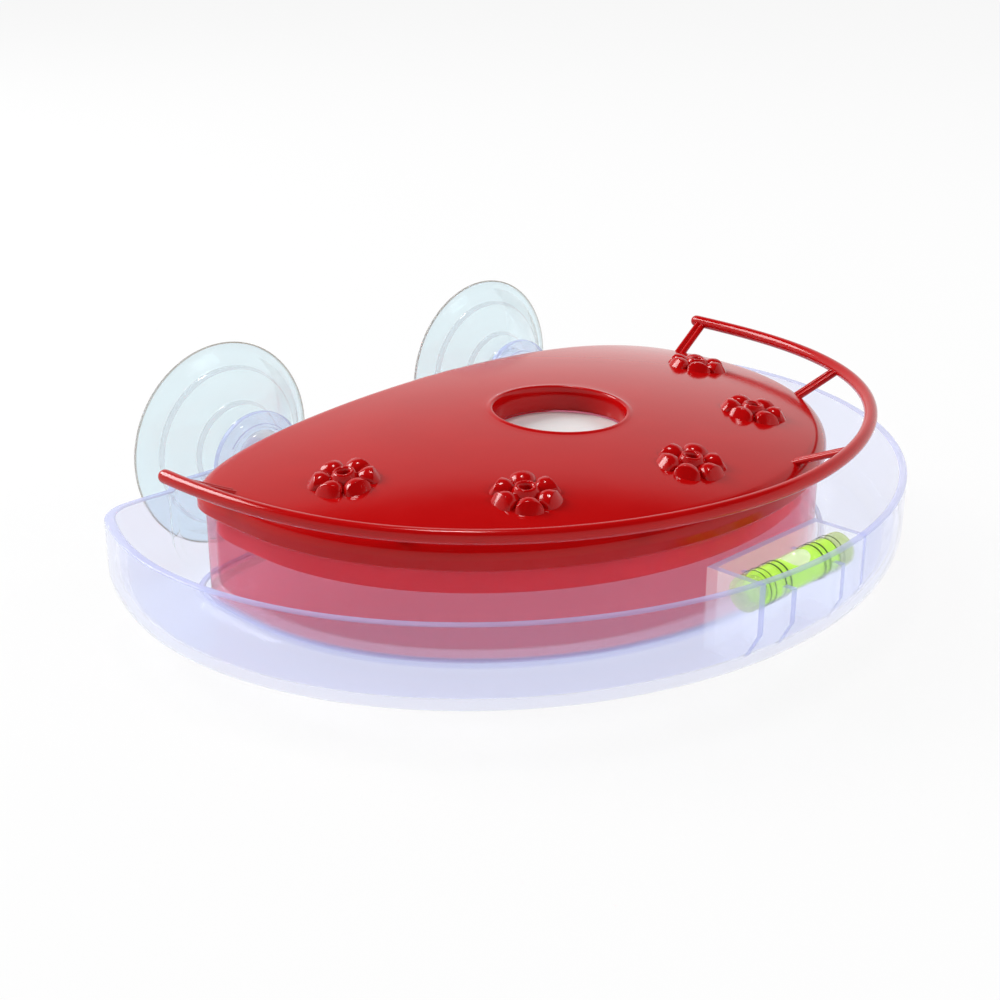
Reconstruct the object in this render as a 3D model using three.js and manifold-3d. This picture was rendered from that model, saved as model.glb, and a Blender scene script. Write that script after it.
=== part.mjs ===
// Window hummingbird feeder: clear tray on two suction cups, tinted bowl, red lid with feeding
// ports and perch rail, spirit level at the front.
// Millimetres, +Z up, +Y towards the window. The origin lies on the window plane, midway between
// the suction cup centres.
import * as THREE from 'three';
import { mergeVertices } from 'three/addons/utils/BufferGeometryUtils.js';
import Module from 'manifold-3d';

const wasm = await Module();
wasm.setup();

// clearances
const GAP = 0.3;            // between two pieces that sit in or on each other

// tray
const TRAY_HALF_W = 126;    // outer half width at the rim
const TRAY_MID_Y = 22;      // widest line
const TRAY_FRONT = 114.3;   // widest line to front rim
const TRAY_SIDE = 70.15;    // outer face of the back wall beside the bay
const TRAY_BACK = 75.4;     // outer face of the back wall in the bay that carries the cups
const BAY_IN = 86;          // half width of the bay
const BAY_OUT = 92;
const TRAY_TAPER = 13;      // how far each side draws in towards the back
const TRAY_H = 26.6;        // underside to rim
const TRAY_WALL = 2.5;
const BEYOND = 4 * TRAY_HALF_W;   // reach of a cut that passes everything
const TRAY_FLOOR = 2.5;
const TRAY_CORNER = 13;     // back corner radius in plan
const TRAY_FOOT_H = 11;     // height of the rounded lower edge
const TRAY_FOOT_IN = 9;     // how far the lower edge draws in

// suction cups and their tabs
const CUP_X = 55.9;         // cup centre either side of the middle
const CUP_Z = 26.5;         // cup centre above the tray underside
const CUP_R = 32;
const CUP_PLANE = 92.6;     // window plane
const TAB_R = 15.8;
const TAB_Z = 25;           // centre of the tab arch
const NECK_R = 5;
const KNOB_R = 9;

// bowl and lid plan, widest at PLAN_Y
const BOWL_A = 98.1;        // half width
const BOWL_B = 86.9;        // widest line to front
const BOWL_BACK = 36;       // widest line to back
const BACK_POWER = 5.5;     // how square the back corners are
const PLAN_Y = 20;
const BOWL_WALL = 2;
const BOWL_TOP = 33;
const BOWL_UNDER = TRAY_FLOOR + GAP;

// middle of the lid hole, chimney and post
const HOLE_Y = 1.9;
const HOLE_R = 19.4;
const COLLAR_WALL = 2;
const CHIMNEY_R = HOLE_R + COLLAR_WALL + GAP + 0.3;
const CHIMNEY_TOP = 41;
const POST_R = HOLE_R + 1.1;
const POST_TOP = 38.3;
const POST_WALL = 2;

// lid
const SKIRT_T = 1.5;
const LID_GROW = GAP + SKIRT_T;  // lid outline beyond the bowl outline
const SKIRT_LOW = 29.6;
const PLUG_LOW = 21.8;
const PLUG_T = 1.6;
const LID_T = 2;
const DOME_TOP = 46.4;
const DOME_Y = 20;
const DOME_RX = 150;
const DOME_RY = 135;
const DOME_RZ = 40;
const LID_EDGE = 4.2;       // radius of the rounded lid edge

// feeding ports
const PORTS = [[-74.9, 10.2], [-48.8, -31.8], [0, -47.4], [48.8, -31.8], [74.9, 10.2]];
const PORT_R = 3;           // tube through the lid
const PORT_BORE = 1.65;
const PORT_UP = 3.2;        // tube above the lid surface
const PORT_DOWN = 7;
const PETAL_RING = 6.9;
const PETAL_R = 3.5;

// perch rail
const RAIL_A = 111.1;
const RAIL_B = 122.2;
const RAIL_Y = 41;
const RAIL_Z = 43.9;
const RAIL_R = 1.95;
const STRUT_R = 1.7;
const STRUT_TURNS = [0.012, 0.51, 1.235];   // where each strut leaves the rail
const STRUT_FEET = [[84, 31], [76, -20], [28, -48]];
const STRUT_FOOT_Z = 32;

// spirit level
const BOX_HALF = 23.8;
const BOX_BACK = -74.3;
const BOX_TOP = 25.6;
const BOX_WALL = 2;
const RIB_X = 11;
const VIAL_R = 5;
const VIAL_WALL = 1.1;
const VIAL_HALF = 19.6;
const VIAL_Y = -82.4;
const VIAL_Z = 20.2;
const PLUG_LIP = 1.6;

function solid(geometry) {
  const bare = new THREE.BufferGeometry();
  bare.setAttribute('position', geometry.getAttribute('position').clone());
  if (geometry.index) bare.setIndex(geometry.index.clone());
  const merged = mergeVertices(bare, 1e-4);
  const mesh = new wasm.Mesh({
    numProp: 3,
    vertProperties: new Float32Array(merged.getAttribute('position').array),
    triVerts: new Uint32Array(merged.index.array),
  });
  mesh.merge();
  return new wasm.Manifold(mesh);
}

function box(x0, x1, y0, y1, z0, z1) {
  const g = new THREE.BoxGeometry(x1 - x0, y1 - y0, z1 - z0);
  g.translate((x0 + x1) / 2, (y0 + y1) / 2, (z0 + z1) / 2);
  return solid(g);
}

function rod(r, z0, z1, x, y, segments = 36) {
  const g = new THREE.CylinderGeometry(r, r, z1 - z0, segments);
  g.rotateX(Math.PI / 2);
  g.translate(x, y, (z0 + z1) / 2);
  return solid(g);
}

function rodY(r, y0, y1, x, z, segments = 28) {
  const g = new THREE.CylinderGeometry(r, r, y1 - y0, segments);
  g.translate(x, (y0 + y1) / 2, z);
  return solid(g);
}

function rodX(r, x0, x1, y, z, segments = 24) {
  const g = new THREE.CylinderGeometry(r, r, x1 - x0, segments);
  g.rotateZ(Math.PI / 2);
  g.translate((x0 + x1) / 2, y, z);
  return solid(g);
}

function ellipsoid(rx, ry, rz, x, y, z, wide = 24, high = 14) {
  const g = new THREE.SphereGeometry(1, wide, high);
  g.rotateX(Math.PI / 2);
  g.scale(rx, ry, rz);
  g.translate(x, y, z);
  return solid(g);
}

function power(v, e) {
  return Math.sign(v) * Math.pow(Math.abs(v), e);
}

// plan of the tray: half-ellipse front, sides drawn in towards the back, rounded back corners, and
// a shallow bay in the back wall
function trayPlan(inset, steps = 30) {
  const a = TRAY_HALF_W - inset;
  const b = TRAY_FRONT - inset;
  const r = TRAY_CORNER - inset;
  const y0 = TRAY_SIDE - inset;
  const left = [];
  for (let i = 0; i <= steps / 2; i += 1) {
    const t = Math.PI / 2 * i / (steps / 2);
    left.push(new THREE.Vector2(-a * Math.sin(t), TRAY_MID_Y - b * Math.cos(t)));
  }
  const reach = y0 - TRAY_MID_Y;
  const slope = Math.atan(2 * TRAY_TAPER / reach);
  const sideEnd = y0 - r + r * Math.sin(slope);
  for (let i = 1; i <= 4; i += 1) {
    const f = (sideEnd - TRAY_MID_Y) / reach * i / 4;
    left.push(new THREE.Vector2(-a + TRAY_TAPER * f * f, TRAY_MID_Y + reach * f));
  }
  const cx = left[left.length - 1].x + r * Math.cos(slope);
  for (let i = 1; i <= 4; i += 1) {
    const t = Math.PI - slope - (Math.PI / 2 - slope) * i / 4;
    left.push(new THREE.Vector2(cx + r * Math.cos(t), y0 - r + r * Math.sin(t)));
  }
  left.push(new THREE.Vector2(-BAY_OUT + 0.38 * inset, y0));
  left.push(new THREE.Vector2(-BAY_IN + 0.38 * inset, TRAY_BACK - inset));
  const right = left.slice(1).reverse().map((v) => new THREE.Vector2(-v.x, v.y));
  return left.concat(right);
}

// plan shared by bowl and lid: half-ellipse front, squarer back
function leafPlan(grow, steps = 28) {
  const a = BOWL_A + grow;
  const pts = [];
  for (let i = 0; i < steps; i += 1) {
    const t = Math.PI * i / steps;
    pts.push(new THREE.Vector2(a * Math.cos(t), PLAN_Y - (BOWL_B + grow) * Math.sin(t)));
  }
  const backSteps = 24;
  for (let i = 0; i < backSteps; i += 1) {
    const t = Math.PI * i / backSteps;
    const x = -a * power(Math.cos(t), 2 / BACK_POWER);
    const y = PLAN_Y + (BOWL_BACK + grow) * Math.pow(Math.sin(t), 2 / BACK_POWER);
    pts.push(new THREE.Vector2(x, y));
  }
  return pts;
}

function prism(points, z0, z1) {
  const g = new THREE.ExtrudeGeometry(new THREE.Shape(points), { depth: z1 - z0, bevelEnabled: false });
  g.translate(0, 0, z0);
  return solid(g);
}

// upright prism with a rounded lower edge
function footed(points, z0, z1, footH, footIn, segments = 3) {
  const g = new THREE.ExtrudeGeometry(new THREE.Shape(points), {
    depth: z1 - z0,
    bevelEnabled: true,
    bevelThickness: footH,
    bevelSize: footIn,
    bevelOffset: -footIn,
    bevelSegments: segments,
  });
  g.translate(0, 0, z0 + footH);
  const body = solid(g);
  return body.subtract(box(-BEYOND, BEYOND, -BEYOND, BEYOND, z1, z1 + BEYOND));
}

// closed body through a stack of outlines, lowest first, each with the same number of points
function loft(rings) {
  const count = rings[0].length;
  const pts = rings.flat();
  const index = [];
  const caps = [rings[0], rings[rings.length - 1]].map((ring) => {
    const mid = new THREE.Vector3();
    for (const v of ring) mid.add(v);
    pts.push(mid.divideScalar(count));
    return pts.length - 1;
  });
  for (let i = 0; i < count; i += 1) {
    const j = (i + 1) % count;
    const top = (rings.length - 1) * count;
    index.push(caps[0], i, j, caps[1], top + j, top + i);
    for (let k = 0; k + 1 < rings.length; k += 1) {
      const a = k * count;
      const b = a + count;
      index.push(a + i, b + i, b + j, a + i, b + j, a + j);
    }
  }
  const g = new THREE.BufferGeometry().setFromPoints(pts);
  g.setIndex(index);
  return solid(g);
}

function dome(lift, grow) {
  return ellipsoid(DOME_RX + grow, DOME_RY + grow, DOME_RZ + grow, 0, DOME_Y,
    DOME_TOP - DOME_RZ + lift, 36, 28);
}

function domeZ(x, y) {
  const q = (x / DOME_RX) ** 2 + ((y - DOME_Y) / DOME_RY) ** 2;
  return DOME_TOP - DOME_RZ + DOME_RZ * Math.sqrt(1 - q);
}

function tube(path, r, along, around) {
  const shape = new THREE.Shape();
  for (let i = 0; i < around; i += 1) {
    const t = 2 * Math.PI * i / around;
    if (i === 0) shape.moveTo(r, 0);
    else shape.lineTo(r * Math.cos(t), r * Math.sin(t));
  }
  const g = new THREE.ExtrudeGeometry(shape, { steps: along, bevelEnabled: false, extrudePath: path });
  return solid(g);
}

// tray with tabs, post, locating ridge and level box
function makeTray() {
  let body = footed(trayPlan(0), 0, TRAY_H, TRAY_FOOT_H, TRAY_FOOT_IN);
  const tab = [];
  for (const side of [-1, 1]) {
    tab.push(rodY(TAB_R, TRAY_BACK - TRAY_WALL, TRAY_BACK, side * CUP_X, TAB_Z, 40));
  }
  const hollow = footed(trayPlan(TRAY_WALL), TRAY_FLOOR, TRAY_H + 5,
    TRAY_FOOT_H - TRAY_WALL, TRAY_FOOT_IN - 1);
  body = body.subtract(hollow);
  for (const t of tab) body = body.add(t);
  const ridge = prism(leafPlan(3), TRAY_FLOOR - 0.5, TRAY_FLOOR + 3)
    .subtract(prism(leafPlan(1.2), TRAY_FLOOR - 1, TRAY_FLOOR + 4));
  body = body.add(ridge);
  body = body.add(rod(POST_R, 0.5, POST_TOP, 0, HOLE_Y));
  body = body.subtract(rod(POST_R - POST_WALL, -1, POST_TOP - POST_WALL, 0, HOLE_Y));
  const front = TRAY_MID_Y - TRAY_FRONT + 1.2;
  let level = box(-BOX_HALF, BOX_HALF, front, BOX_BACK + BOX_WALL, 1, BOX_TOP);
  level = level.subtract(box(-BOX_HALF + BOX_WALL, BOX_HALF - BOX_WALL, front - 1, BOX_BACK,
    TRAY_FLOOR, BOX_TOP + 1));
  for (const side of [-1, 1]) {
    const x = side * RIB_X;
    const rib = box(x - 1, x + 1, front, BOX_BACK + 1, 1, VIAL_Z + 1);
    level = level.add(rib);
  }
  level = level.subtract(rodX(VIAL_R + GAP, -RIB_X - 4, RIB_X + 4, VIAL_Y, VIAL_Z));
  level = level.subtract(box(-RIB_X - 4, RIB_X + 4, VIAL_Y - VIAL_R - GAP, VIAL_Y + VIAL_R + GAP,
    VIAL_Z, BOX_TOP + 1));
  const inside = footed(trayPlan(1), 0.5, TRAY_H, TRAY_FOOT_H - 0.5, TRAY_FOOT_IN - 0.5);
  body = body.add(level.intersect(inside));
  for (const side of [-1, 1]) {
    body = body.subtract(rodY(NECK_R + GAP, TRAY_BACK - 6, TRAY_BACK + 4, side * CUP_X, CUP_Z));
  }
  return body;
}

function makeCup(side) {
  const tabBack = TRAY_BACK + GAP;
  const tabFront = TRAY_BACK - TRAY_WALL - GAP;
  const profile = [
    [0, CUP_PLANE - 5.6], [12, CUP_PLANE - 5], [22, CUP_PLANE - 3], [28, CUP_PLANE - 0.9],
    [29.2, CUP_PLANE], [CUP_R - 0.3, CUP_PLANE], [CUP_R, CUP_PLANE - 0.9], [24.8, CUP_PLANE - 4],
    [24.4, CUP_PLANE - 4.6], [15, CUP_PLANE - 8.6], [14.6, CUP_PLANE - 9.2], [11.4, CUP_PLANE - 11.4],
    [10.4, tabBack + 2], [9.6, tabBack], [NECK_R, tabBack],
    [NECK_R, tabFront], [KNOB_R, tabFront], [KNOB_R, tabFront - 1.4], [KNOB_R - 1.4, tabFront - 3],
    [KNOB_R - 4, tabFront - 3.8], [0, tabFront - 4],
  ];
  const pts = profile.map(([r, y]) => new THREE.Vector2(r, y));
  const g = new THREE.LatheGeometry(pts.reverse(), 30);
  g.translate(side * CUP_X, 0, CUP_Z);
  return solid(g);
}

function makeBowl() {
  let body = footed(leafPlan(0), BOWL_UNDER, BOWL_TOP, 2, 1.2, 2);
  body = body.subtract(footed(leafPlan(-BOWL_WALL), BOWL_UNDER + BOWL_WALL, BOWL_TOP + 4, 2, 1.2, 2));
  body = body.add(rod(CHIMNEY_R + BOWL_WALL, BOWL_UNDER, CHIMNEY_TOP, 0, HOLE_Y));
  return body.subtract(rod(CHIMNEY_R, -2, CHIMNEY_TOP + 4, 0, HOLE_Y));
}

// whole outer body of the lid without its hollows, grown all round for clearances
// outer form of the lid: upright skirt, rounded edge, crown that follows the dome
function lidOuter(extra) {
  const rings = [];
  const outline = (grow, height) => {
    rings.push(leafPlan(grow).map((v) => new THREE.Vector3(v.x, v.y, height(v.x, v.y))));
  };
  outline(LID_GROW + extra, () => SKIRT_LOW - extra);
  for (let i = 0; i <= 3; i += 1) {
    const turn = Math.PI / 6 * i;
    const drop = LID_EDGE * (1 - Math.sin(turn)) - extra;
    outline(LID_GROW + extra - LID_EDGE * (1 - Math.cos(turn)), (x, y) => domeZ(x, y) - drop);
  }
  const crown = leafPlan(LID_GROW + extra - LID_EDGE);
  for (const share of [0.8, 0.6, 0.4, 0.2]) {
    rings.push(crown.map((v) => {
      const x = v.x * share;
      const y = PLAN_Y + (v.y - PLAN_Y) * share;
      return new THREE.Vector3(x, y, domeZ(x, y) + extra);
    }));
  }
  return loft(rings);
}

function makeLid() {
  let body = lidOuter(0);
  body = body.add(prism(leafPlan(-BOWL_WALL - GAP), PLUG_LOW, SKIRT_LOW + 2));
  const channel = prism(leafPlan(GAP), SKIRT_LOW - 3, BOWL_TOP + GAP)
    .subtract(prism(leafPlan(-BOWL_WALL - GAP), SKIRT_LOW - 4, BOWL_TOP + 2));
  const hollow = prism(leafPlan(-BOWL_WALL - GAP - PLUG_T), PLUG_LOW - 1, DOME_TOP + 4)
    .intersect(dome(-LID_T, 0));
  body = body.subtract(channel).subtract(hollow);
  const collar = rod(HOLE_R + COLLAR_WALL, POST_TOP + GAP, DOME_TOP + 0.1, 0, HOLE_Y);
  body = body.add(collar).subtract(rod(HOLE_R, PLUG_LOW - 2, DOME_TOP + 4, 0, HOLE_Y));
  for (const [x, y] of PORTS) body = body.subtract(rod(PORT_R + GAP, PLUG_LOW, DOME_TOP + 4, x, y, 16));
  return body;
}

function makePort([x, y]) {
  const z = domeZ(x, y);
  let flower = rod(PETAL_RING - 1, z - 3, z + 1.5, x, y, 16);
  for (let i = 0; i < 6; i += 1) {
    const t = Math.PI * 2 * i / 6 + 0.3;
    const g = new THREE.SphereGeometry(1, 8, 5);
    g.rotateX(Math.PI / 2);
    g.scale(PETAL_R + 0.4, PETAL_R - 0.3, 2.7);
    g.rotateZ(t);
    g.translate(x + PETAL_RING * Math.cos(t), y + PETAL_RING * Math.sin(t), z + 0.9);
    flower = flower.add(solid(g));
  }
  flower = flower.subtract(dome(GAP, 0));
  flower = flower.add(rod(PORT_R, z - PORT_DOWN, z + PORT_UP, x, y, 16));
  return flower.subtract(rod(PORT_BORE, z - PORT_DOWN - 1, z + PORT_UP + 1, x, y, 12));
}

function railPoint(t) {
  const x = RAIL_A * power(Math.cos(t), 2 / 1.9);
  const y = RAIL_Y - RAIL_B * Math.pow(Math.abs(Math.sin(t)), 2 / 2.62);
  return new THREE.Vector3(x, y, RAIL_Z);
}

function makeRail() {
  const pts = [];
  for (let i = 0; i <= 40; i += 1) pts.push(railPoint(Math.PI * i / 40));
  let body = tube(new THREE.CatmullRomCurve3(pts), RAIL_R, 40, 8);
  for (const side of [-1, 1]) {
    STRUT_FEET.forEach(([x, y], i) => {
      const a = railPoint(STRUT_TURNS[i]);
      a.x *= side;
      const b = new THREE.Vector3(side * x, y, STRUT_FOOT_Z);
      body = body.add(tube(new THREE.LineCurve3(a, b), STRUT_R, 1, 6));
    });
  }
  return body.subtract(lidOuter(GAP));
}

function makeVial() {
  return rodX(VIAL_R, -VIAL_HALF, VIAL_HALF, VIAL_Y, VIAL_Z)
    .subtract(rodX(VIAL_R - VIAL_WALL, -VIAL_HALF - 1, VIAL_HALF + 1, VIAL_Y, VIAL_Z));
}

const STOPPER_IN = 4;

function makeStopper(side) {
  const inner = rodX(VIAL_R - VIAL_WALL - GAP / 2, VIAL_HALF - STOPPER_IN, VIAL_HALF + GAP + 0.5, VIAL_Y, VIAL_Z);
  const cap = rodX(VIAL_R - 0.2, VIAL_HALF + GAP, VIAL_HALF + GAP + PLUG_LIP, VIAL_Y, VIAL_Z);
  const body = inner.add(cap);
  return side > 0 ? body : body.mirror([1, 0, 0]);
}

function makeLiquid() {
  const half = VIAL_HALF - STOPPER_IN - GAP;
  const fill = rodX(VIAL_R - VIAL_WALL - GAP / 2, -half, half, VIAL_Y, VIAL_Z);
  return fill.subtract(ellipsoid(4.6, 2.6, 2.3, 0, VIAL_Y, VIAL_Z + 2.9, 16, 10));
}

const CLEAR = { color: '#e4e9fb', roughness: 0.15, transparent: true, opacity: 0.45 };
const PVC = { color: '#dfeef0', roughness: 0.25, transparent: true, opacity: 0.5 };
const RED = { color: '#a00606', roughness: 0.2 };
const PINK = { color: '#cd8798', roughness: 0.15, transparent: true, opacity: 0.6 };
const LIME = { color: '#b9e63c', roughness: 0.1, transparent: true, opacity: 0.8 };

const group = new THREE.Group();
group.name = 'window_hummingbird_feeder';

function place(name, body, look) {
  const out = body.translate([0, -CUP_PLANE, -CUP_Z]).getMesh();
  const g = new THREE.BufferGeometry();
  g.setAttribute('position', new THREE.BufferAttribute(new Float32Array(out.vertProperties), 3));
  g.setIndex(new THREE.BufferAttribute(new Uint32Array(out.triVerts), 1));
  g.computeVertexNormals();
  const mesh = new THREE.Mesh(g, new THREE.MeshStandardMaterial(look));
  mesh.name = name;
  group.add(mesh);
}

place('tray', makeTray(), CLEAR);
place('suction_cup_left', makeCup(-1), PVC);
place('suction_cup_right', makeCup(1), PVC);
place('bowl', makeBowl(), PINK);
place('lid', makeLid(), RED);
place('perch_rail', makeRail(), RED);
PORTS.forEach((p, i) => place(`feeding_port_${i + 1}`, makePort(p), RED));
place('level_vial', makeVial(), CLEAR);
place('vial_liquid', makeLiquid(), LIME);
place('vial_stopper_left', makeStopper(-1), LIME);
place('vial_stopper_right', makeStopper(1), LIME);

export default group;
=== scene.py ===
import math

import bmesh
import bpy
import numpy as np
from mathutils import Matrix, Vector


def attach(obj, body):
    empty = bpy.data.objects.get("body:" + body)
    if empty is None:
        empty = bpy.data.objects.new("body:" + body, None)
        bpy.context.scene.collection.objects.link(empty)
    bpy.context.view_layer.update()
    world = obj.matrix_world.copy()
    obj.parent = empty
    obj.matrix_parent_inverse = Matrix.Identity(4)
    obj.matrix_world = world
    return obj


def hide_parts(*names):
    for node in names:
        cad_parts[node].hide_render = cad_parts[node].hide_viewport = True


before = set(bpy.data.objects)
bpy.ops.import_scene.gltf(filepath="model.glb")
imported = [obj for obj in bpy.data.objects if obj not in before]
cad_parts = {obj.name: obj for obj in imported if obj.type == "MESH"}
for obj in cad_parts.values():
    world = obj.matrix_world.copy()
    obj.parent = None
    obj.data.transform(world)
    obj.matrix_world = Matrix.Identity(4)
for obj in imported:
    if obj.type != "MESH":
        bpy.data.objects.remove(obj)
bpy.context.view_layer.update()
scene = bpy.context.scene
scene.view_settings.view_transform = "Standard"

# Sizes in millimetres, measured from the tray underside and the middle of the feeder.
N = 600                      # points round each outline
GAP = 0.3                    # between two pieces that sit in or on each other
WINDOW_Y, CUP_Z = 92.6, 26.5
HOLE_Y, HOLE_R, PLAN_Y = 1.9, 19.4, 20.0
BOWL_A, BOWL_B, BOWL_BACK, BACK_POWER = 98.1, 86.9, 36.0, 5.5
TRAY_W, TRAY_MID_Y, TRAY_FRONT, TRAY_CORNER = 126.0, 22.0, 114.3, 13.0
TRAY_SIDE, TRAY_BACK, TRAY_TAPER = 70.15, 75.4, 13.0
BAY_IN, BAY_OUT = 86.0, 92.0
TRAY_H, TRAY_WALL, TRAY_FLOOR = 26.6, 2.5, 2.5
FOOT_H, FOOT_IN, RIM_R = 11.0, 9.0, 0.7
LIP_OUT, LIP_IN, LIP_H = 3.0, 1.2, 3.0
CUP_X, TAB_R, TAB_Z, TAB_HOLE = 55.9, 15.8, 25.0, 5.3
CUP_LIP, CUP_STEPS = 31.3, ((14.2, 15.5), (24.1, 25.3))      # radii of the thin lip and the raised steps
DOME_TOP, DOME_Y, DOME_RX, DOME_RY, DOME_RZ = 46.4, 20.0, 150.0, 135.0, 40.0
SKIRT_LOW, LID_GROW, LID_EDGE, LID_T = 29.6, 1.8, 4.2, 2.0
PLUG_LOW, PLUG_OUT, PLUG_IN, COLLAR_WALL = 21.8, -2.3, -3.9, 2.0
BOWL_UNDER, BOWL_FLOOR, BOWL_TOP, BOWL_WALL, BOWL_ROUND = 2.8, 4.8, 33.0, 2.0, 3.5
POST_R, POST_TOP, POST_WALL = 20.5, 38.3, 2.0
CHIMNEY_R, CHIMNEY_TOP = 22.0, 41.0
RAIL_A, RAIL_B, RAIL_Y, RAIL_Z, RAIL_R = 111.1, 122.2, 41.0, 43.9, 1.95
RAIL_BEND_X, RAIL_BEND_Y = 2 / 1.9, 2 / 2.62
STRUTS = [(0.012, 84.0, 31.0), (0.51, 76.0, -20.0), (1.235, 28.0, -48.0)]   # turn on the rail, foot x, foot y
STRUT_FOOT_Z = 32.0
PORTS = [(-74.9, 10.2), (-48.8, -31.8), (0.0, -47.4), (48.8, -31.8), (74.9, 10.2)]
PETALS = 6
PETAL_TURN = [18.0, 51.0, 30.0, 9.0, 42.0]                   # degrees, one for each flower
VIAL_Y, VIAL_Z, VIAL_R, VIAL_HALF = -82.4, 20.2, 5.0, 19.6
BARREL_IN, LIQUID_R, STOPPER_R = 4.7, 4.6, 3.72
MARKS = [(7.6, 0.2), (9.9, 0.2), (14.2, 0.1), (16.4, 0.1)]   # place and half width of the rings on the vial
BOX_HALF, BOX_WALL, BOX_BACK, BOX_LOW, BOX_TOP = 23.8, 2.0, -72.3, 2.3, 25.6
RIB_X, SEAT_HALF = 11, 15

THETA = np.linspace(0, 2 * math.pi, N, endpoint=False)


def row(points):
    """Points in tray millimetres to metres in the shared frame."""
    p = np.asarray(points, float)
    return (p - np.array([0, WINDOW_Y, CUP_Z])) / 1000.0


def signed_power(v, e):
    return np.sign(v) * np.abs(v) ** e


def leaf(grow):
    """Plan of the bowl and lid as a radius for each angle round the hole."""
    t = np.linspace(0, math.pi, 1500, endpoint=False)
    a = BOWL_A + grow
    fx = a * np.cos(t)
    fy = PLAN_Y - (BOWL_B + grow) * np.sin(t)
    bx = -a * signed_power(np.cos(t), 2 / BACK_POWER)
    by = PLAN_Y + (BOWL_BACK + grow) * np.sin(t) ** (2 / BACK_POWER)
    return radius_of(np.concatenate([fx, bx]), np.concatenate([fy, by]))


def tray_plan(inset):
    """Plan of the tray as a radius for each angle round the hole."""
    a = TRAY_W - inset
    b = TRAY_FRONT - inset
    r = max(TRAY_CORNER - inset, 0.6)
    y0 = TRAY_SIDE - inset
    t = np.linspace(0, math.pi / 2, 400)
    x, y = [-a * np.sin(t)], [TRAY_MID_Y - b * np.cos(t)]
    reach = y0 - TRAY_MID_Y
    slope = math.atan(2 * TRAY_TAPER / reach)
    f = np.linspace(0, (y0 - r + r * math.sin(slope) - TRAY_MID_Y) / reach, 60)[1:]
    x.append(-a + TRAY_TAPER * f * f)
    y.append(TRAY_MID_Y + reach * f)
    t = np.linspace(math.pi - slope, math.pi / 2, 40)[1:]
    x.append(x[-1][-1] + r * math.cos(slope) + r * np.cos(t))
    y.append(y0 - r + r * np.sin(t))
    step = np.linspace(0, 1, 20)
    ease = step * step * (3 - 2 * step)
    x.append(-BAY_OUT + 0.38 * inset + (BAY_OUT - BAY_IN) * step)
    y.append(y0 + (TRAY_BACK - TRAY_SIDE) * ease)
    x, y = np.concatenate(x), np.concatenate(y)
    mid = np.linspace(x[-1], -x[-1], 300)[1:-1]
    return radius_of(np.concatenate([x, mid, -x[1:]]),
                     np.concatenate([y, np.full(mid.shape, y[-1]), y[1:]]))


def radius_of(x, y):
    """An outline's points as a radius for each angle round the hole."""
    ang = np.mod(np.arctan2(y - HOLE_Y, x), 2 * math.pi)
    rad = np.hypot(x, y - HOLE_Y)
    order = np.argsort(ang)
    ang, rad = ang[order], rad[order]
    ang = np.concatenate([ang[-1:] - 2 * math.pi, ang, ang[:1] + 2 * math.pi])
    rad = np.concatenate([rad[-1:], rad, rad[:1]])
    return np.interp(THETA, ang, rad)


def ring(radius, z):
    """One closed loop; radius is a number or one per angle, z likewise."""
    r = np.broadcast_to(np.asarray(radius, float), (N,))
    z = np.broadcast_to(np.asarray(z, float), (N,))
    return np.stack([r * np.cos(THETA), HOLE_Y + r * np.sin(THETA), z], 1)


def dome_z(radius):
    """Height of the lid's dome along a loop."""
    r = np.broadcast_to(np.asarray(radius, float), (N,))
    x, y = r * np.cos(THETA), HOLE_Y + r * np.sin(THETA) - DOME_Y
    return DOME_TOP - DOME_RZ + DOME_RZ * np.sqrt(1 - (x / DOME_RX) ** 2 - (y / DOME_RY) ** 2)


def dome_at(x, y):
    """Height of the lid's dome at one place."""
    q = (x / DOME_RX) ** 2 + ((y - DOME_Y) / DOME_RY) ** 2
    return DOME_TOP - DOME_RZ + DOME_RZ * math.sqrt(1 - q)


def mesh_object(name, verts, faces, sharp=32):
    mesh = bpy.data.meshes.new(name)
    mesh.from_pydata([tuple(v) for v in verts], [], faces)
    mesh.validate()
    obj = bpy.data.objects.new(name, mesh)
    scene.collection.objects.link(obj)
    tidy(obj, sharp)
    return obj


def tidy(obj, sharp=32):
    """Joins doubled points, turns faces outwards and keeps edges steeper than sharp degrees crisp."""
    bm = bmesh.new()
    bm.from_mesh(obj.data)
    bmesh.ops.remove_doubles(bm, verts=bm.verts, dist=2e-6)
    bmesh.ops.recalc_face_normals(bm, faces=bm.faces)
    bm.to_mesh(obj.data)
    bm.free()
    obj.data.polygons.foreach_set("use_smooth", [True] * len(obj.data.polygons))
    obj.data.set_sharp_from_angle(angle=math.radians(sharp))
    obj.data.update()


def skin(name, rings, wrap=True, caps=(False, False), sharp=32):
    """A closed surface through a list of loops; the last joins the first, or both ends are capped."""
    count = len(rings[0])
    verts = list(np.concatenate(rings))
    faces = []
    last = len(rings) if wrap else len(rings) - 1
    for k in range(last):
        a, b = k * count, ((k + 1) % len(rings)) * count
        for i in range(count):
            j = (i + 1) % count
            faces.append((a + i, a + j, b + j, b + i))
    for end, use in zip((0, len(rings) - 1), caps):
        if use:
            verts.append(np.mean(rings[end], axis=0))
            mid = len(verts) - 1
            for i in range(count):
                faces.append((end * count + i, end * count + (i + 1) % count, mid))
    return mesh_object(name, row(verts), faces, sharp)


def arc(steps, start=0.0, stop=90.0):
    return [math.radians(start + (stop - start) * i / steps) for i in range(steps + 1)]


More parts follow.
